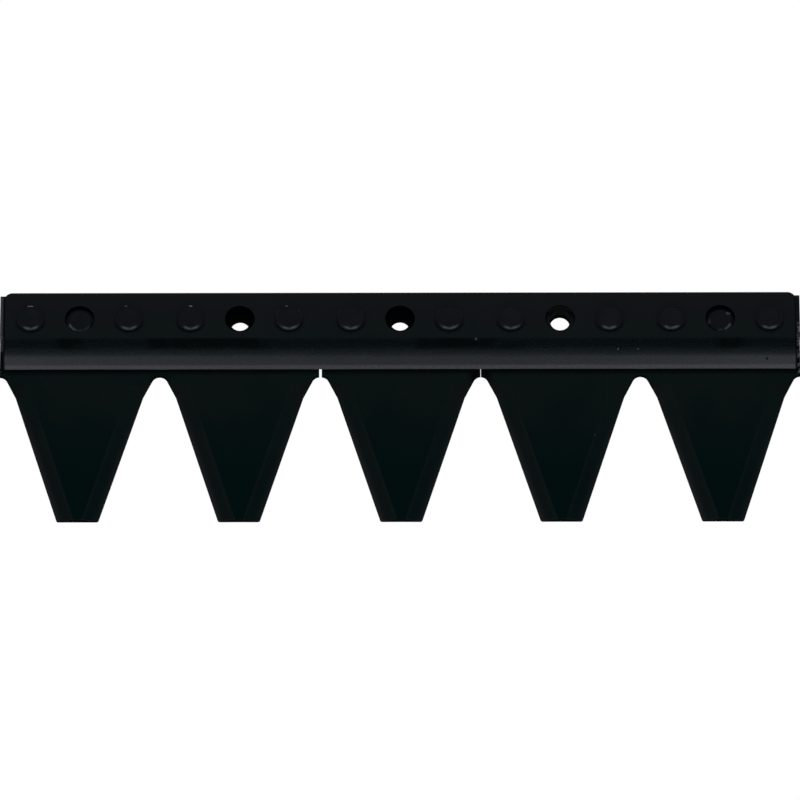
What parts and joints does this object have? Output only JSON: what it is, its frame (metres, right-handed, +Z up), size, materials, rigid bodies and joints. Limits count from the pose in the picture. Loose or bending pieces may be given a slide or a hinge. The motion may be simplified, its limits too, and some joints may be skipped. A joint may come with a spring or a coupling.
{
  "type": "sickle section",
  "caption": "Mower knife run: trapezoid teeth with ground bevels, riveted with a back bar under a folded top plate, with open bolt holes.",
  "frame": {"origin": "on the underside of the blades, on the axis of the middle tooth's bolt hole", "axes": "+X along the knife, -Y towards the tooth tips, +Z up through the stack to the rivet heads"},
  "size_m": [0.381, 0.1166, 0.0153],
  "materials": {
    "plate_paint": "satin black paint over steel",
    "bar_paint": "satin black paint over steel, worn at the ends",
    "blade_paint": "satin black paint over steel, thin at the cutting edges",
    "rivet_paint": "satin black paint over steel",
    "plug_paint": "satin black paint over steel"
  },
  "bodies": {
    "root": {"top_plate": "plate_paint", "back_bar": "bar_paint", "left_section": "blade_paint", "centre_section": "blade_paint", "right_section": "blade_paint", "rivet_01": "rivet_paint", "rivet_02": "rivet_paint", "rivet_03": "rivet_paint", "rivet_04": "rivet_paint", "rivet_05": "rivet_paint", "rivet_06": "rivet_paint", "rivet_07": "rivet_paint", "rivet_08": "rivet_paint", "rivet_09": "rivet_paint", "rivet_10": "rivet_paint", "left_plug": "plug_paint", "right_plug": "plug_paint"}
  },
  "joints": []
}
